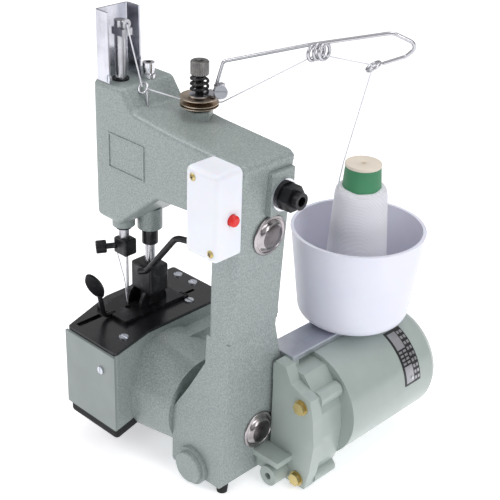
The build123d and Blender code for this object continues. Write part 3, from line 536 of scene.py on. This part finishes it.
for start, end in ((8.5, 26), (44, 63)):
    addField(0.05, 0.58, start, end, 0.0008)
for row in range(9):
    for near, far in ((0.64, 0.76), (0.82, 0.94)):
        addField(near, far, 9 + row * 6.2, 9 + row * 6.2 + 3.2)
for row in range(4):
    for near, far in ((0.1, 0.28), (0.36, 0.54)):
        addField(near, far, 28 + row * 4, 28 + row * 4 + 2.2)
plateFields = newPiece("plateFields", joined(panels), "plateSilver", "frame")
rivetOutline = [(0, -0.4), (1.3, -0.4), (1.3, 0.3)] + arc(0.3, 0.3, 1.0, 0, 90, 5)
rivetAt = math.radians(13)
rivetDirection = Vector((math.cos(rivetAt), 0, math.sin(rivetAt)))
rivetPlace = Vector((motorAxis.x, y0 + (y1 - y0) * 0.45, motorAxis.z))
rivetPlace += rivetDirection * (motorRadius + 0.0006)
rivet = newPiece("rivet", putAt(turned(rivetOutline, 24), rivetPlace, rivetDirection), "chrome", "frame")
print("rating plate done")

# ---- sheet guard round the needle bar, with rounded bends
guardLook = {"wall": 1.4, "bend": 2.6, "cutBack": 0.0012}
low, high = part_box("bar_guard")
guardShape = bmesh.new()
corners = [(high.x, low.y), (low.x, low.y), (low.x, high.y), (high.x, high.y)]
posts = [guardShape.verts.new((x, y, low.z)) for x, y in corners]
for pair in zip(posts, posts[1:]):
    guardShape.edges.new(pair)
bmesh.ops.bevel(guardShape, geom=posts[1:3], offset=guardLook["bend"] / 1000, segments=5, profile=0.5,
                affect="VERTICES", material=-1)
made = bmesh.ops.extrude_edge_only(guardShape, edges=guardShape.edges[:])
risen = [item for item in made["geom"] if isinstance(item, bmesh.types.BMVert)]
bmesh.ops.translate(guardShape, vec=(0, 0, high.z - low.z), verts=risen)
for vert in risen:   # the open edges are cut back a little towards the top
    if vert.co.x > high.x - 0.0001:
        vert.co.x -= guardLook["cutBack"]
bmesh.ops.recalc_face_normals(guardShape, faces=guardShape.faces)
inner = Vector(((low.x + high.x) / 2, (low.y + high.y) / 2, 0))
firstFace = guardShape.faces[:][0]
outwards = firstFace.calc_center_median() - inner
if firstFace.normal.dot(Vector((outwards.x, outwards.y, 0))) < 0:
    bmesh.ops.reverse_faces(guardShape, faces=guardShape.faces)
bmesh.ops.solidify(guardShape, geom=guardShape.faces[:], thickness=guardLook["wall"] / 1000)
guard = newPiece("guard", guardShape, "guardChrome", "frame", 40)
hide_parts("bar_guard")

# ---- painted hexagon under the tension discs, and the threaded stud through them
low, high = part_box("tension_post")
postAxis = Vector(((low.x + high.x) / 2, (low.y + high.y) / 2, low.z))
tall = (high.z - low.z) * 1000
hexagon = turned([(0, 0), (9.9, 0), (9.9, tall - 27.4), (9.2, tall - 26.8), (0, tall - 26.8)], 6)
hexBase = newPiece("hexBase", putAt(hexagon, postAxis), "hammerPaint", "frame", 20)
studOutline = [(0, tall - 27.0), (7.2, tall - 27.0), (7.6, tall - 26.4), (6.6, tall - 25.4),
               (3.0, tall - 25.3)]
studOutline += [(3.0 if k % 2 else 2.65, tall - 24.8 + 0.45 * k) for k in range(54)]
studOutline += [(2.4, tall), (0, tall)]
stud = newPiece("stud", putAt(turned(studOutline, 40), postAxis), "blackSteel", "frame", 25)
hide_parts("tension_post")

# ---- needle thread, from the clamp to the needle's eye
low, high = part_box("needle")
needleAt = Vector(((low.x + high.x) / 2, (low.y + high.y) / 2, low.z))
threadLook = {"radius": 0.0004,
              "turns": [(-0.0075, -0.0045, 0.0540), (-0.0046, -0.0028, 0.0400), (-0.0014, -0.0011, 0.0260),
                        (-0.0009, -0.0007, 0.0120), (0.0, 0.0, 0.0062)]}
curve = bpy.data.curves.new("needleThread", "CURVE")
curve.dimensions = "3D"
curve.bevel_depth = threadLook["radius"]
curve.bevel_resolution = 3
curve.use_fill_caps = True
line = curve.splines.new("NURBS")
line.points.add(len(threadLook["turns"]) - 1)
for point, offset in zip(line.points, threadLook["turns"]):
    point.co = (*(needleAt + Vector(offset)), 1.0)
line.order_u = 3
line.use_endpoint_u = True
curve.materials.append(finishes["threadWhite"])
needleThread = bpy.data.objects.new("needleThread", curve)
bpy.context.scene.collection.objects.link(needleThread)
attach(needleThread, "needle_bar_group")
print("guard, tension post and needle thread done")

# ---- stage, light and camera
stageLook = {"floor": rgb(253, 253, 254), "glow": 0.5, "sky": 0.62, "eye": (0.5353, -0.56845, 0.5672),
             "turn": 43.5, "tilt": 27.5, "roll": 2.0, "lens": 85.0}
scene = bpy.context.scene
floorMesh = bpy.data.meshes.new("floor")
floorShape = bmesh.new()
bmesh.ops.create_grid(floorShape, x_segments=1, y_segments=1, size=60.0)
floorShape.to_mesh(floorMesh)
floorShape.free()
floorFinish = Finish("floorPaper", roughness=0.9, specularIORLevel=0.1, emissionColor=rgb(252, 252, 254),
                     emissionStrength=stageLook["glow"])
paper = floorFinish.colours(floorFinish.noise(3, 2.0), stageLook["floor"], rgb(240, 240, 242))
floorFinish.shade(baseColor=paper)
floorMesh.materials.append(floorFinish.material)
floor = bpy.data.objects.new("floor", floorMesh)
scene.collection.objects.link(floor)

world = bpy.data.worlds.new("studio")
world.use_nodes = True
sky = world.node_tree
sky.nodes["Background"].inputs[1].default_value = stageLook["sky"]
lookUp = sky.nodes.new("ShaderNodeTexCoord")
height = sky.nodes.new("ShaderNodeSeparateXYZ")
shading = sky.nodes.new("ShaderNodeValToRGB")
for count, (at, tone) in enumerate(((0.0, 200), (0.5, 130), (0.6, 165), (0.72, 245), (1.0, 255))):
    stop = shading.color_ramp.elements[count] if count < 2 else shading.color_ramp.elements.new(at)
    stop.position = at
    stop.color = rgb(tone, tone, min(255, tone + 2))
halfUp = sky.nodes.new("ShaderNodeMapRange")
halfUp.inputs[1].default_value = -1.0
sky.links.new(lookUp.outputs["Generated"], height.inputs[0])
sky.links.new(height.outputs[2], halfUp.inputs[0])
sky.links.new(halfUp.outputs[0], shading.inputs[0])
sky.links.new(shading.outputs[0], sky.nodes["Background"].inputs[0])
scene.world = world
scene.view_settings.view_transform = "Standard"


def softLight(name, place, target, size, power):
    lamp = bpy.data.lights.new(name, "AREA")
    lamp.shape = "RECTANGLE"
    lamp.size, lamp.size_y = size
    lamp.energy = power
    holder = bpy.data.objects.new(name, lamp)
    scene.collection.objects.link(holder)
    holder.location = place
    holder.rotation_euler = (Vector(target) - Vector(place)).to_track_quat("-Z", "Y").to_euler()


softLight("keyLeft", (-0.9, -1.1, 1.3), (0, 0, 0.15), (0.8, 0.8), 8.5)
softLight("fillRight", (1.4, -0.1, 0.9), (0, 0, 0.15), (0.5, 1.0), 5)
softLight("top", (0.1, 0.2, 1.6), (0, 0, 0.15), (1.0, 0.8), 6)

cameraData = bpy.data.cameras.new("camera")
cameraData.lens = stageLook["lens"]
cameraData.sensor_width = 36
camera = bpy.data.objects.new("camera", cameraData)
scene.collection.objects.link(camera)
turn, tilt, roll = (math.radians(stageLook[k]) for k in ("turn", "tilt", "roll"))
back = Vector((math.sin(turn) * math.cos(tilt), -math.cos(turn) * math.cos(tilt), math.sin(tilt)))
level = Vector((math.cos(turn), math.sin(turn), 0))
rise = back.cross(level)
right = level * math.cos(roll) + rise * math.sin(roll)
upward = rise * math.cos(roll) - level * math.sin(roll)
aim = Matrix((right, upward, back)).transposed().to_4x4()
camera.matrix_world = Matrix.Translation(stageLook["eye"]) @ aim
scene.camera = camera
print("stage, lights and camera set")
